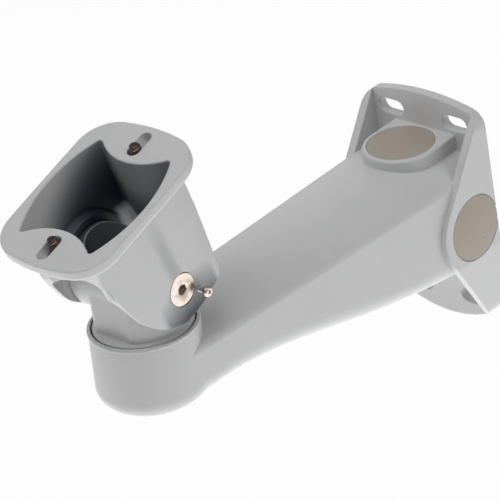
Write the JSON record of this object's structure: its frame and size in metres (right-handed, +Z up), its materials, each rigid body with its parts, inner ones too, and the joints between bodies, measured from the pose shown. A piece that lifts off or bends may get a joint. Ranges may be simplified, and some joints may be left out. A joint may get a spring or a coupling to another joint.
{
  "type": "camera wall bracket",
  "caption": "Cast wall arm with a slotted flange, plugged cable entries, a swivelling knuckle and a tilting hollow head whose slotted flange carries a camera housing",
  "frame": {"origin": "midway between the two upper wall slots, on the plate's wall face", "axes": "+X along the tilt axis, to the side of the lock screw; +Y out of the back of the wall plate, the arm reaches along -Y; +Z up"},
  "size_m": [0.0744, 0.2775, 0.1994],
  "materials": {
    "painted_casting": "powder coated die cast aluminium, light grey",
    "plug_plastic": "moulded, beige grey",
    "black_rubber": "moulded",
    "bearing_plastic": "smooth, natural",
    "nickel_steel": "nickel plated"
  },
  "bodies": {
    "arm": {"arm": "painted_casting", "pan_thrust_washer": "bearing_plastic", "pan_set_screw_a": "nickel_steel", "pan_set_screw_b": "nickel_steel", "conduit_plug_top": "plug_plastic", "conduit_plug_left": "plug_plastic", "conduit_plug_right": "plug_plastic", "plug_gasket_top": "black_rubber", "plug_gasket_left": "black_rubber", "plug_gasket_right": "black_rubber"},
    "swivel": {"swivel_knuckle": "painted_casting", "pan_seal_ring": "black_rubber", "tilt_bolt_right": "nickel_steel", "tilt_bolt_left": "nickel_steel", "tilt_washer_right": "bearing_plastic", "tilt_washer_left": "bearing_plastic"},
    "head": {"tilt_head": "painted_casting", "tilt_lock_screw": "nickel_steel", "camera_screw_front": "nickel_steel", "camera_screw_rear": "nickel_steel", "camera_washer_front": "nickel_steel", "camera_washer_rear": "nickel_steel", "camera_spring_washer_front": "nickel_steel", "camera_spring_washer_rear": "nickel_steel"}
  },
  "joints": [
    {"name": "pan", "type": "hinge", "parent": "arm", "child": "swivel", "pos_m": [0, -0.2165, 0.019], "axis": [0, 0, 1], "range_deg": [-180, 180]},
    {"name": "tilt", "type": "hinge", "parent": "swivel", "child": "head", "pos_m": [0, -0.2165, 0.019], "axis": [1, 0, 0], "range_deg": [-45, 45]}
  ]
}
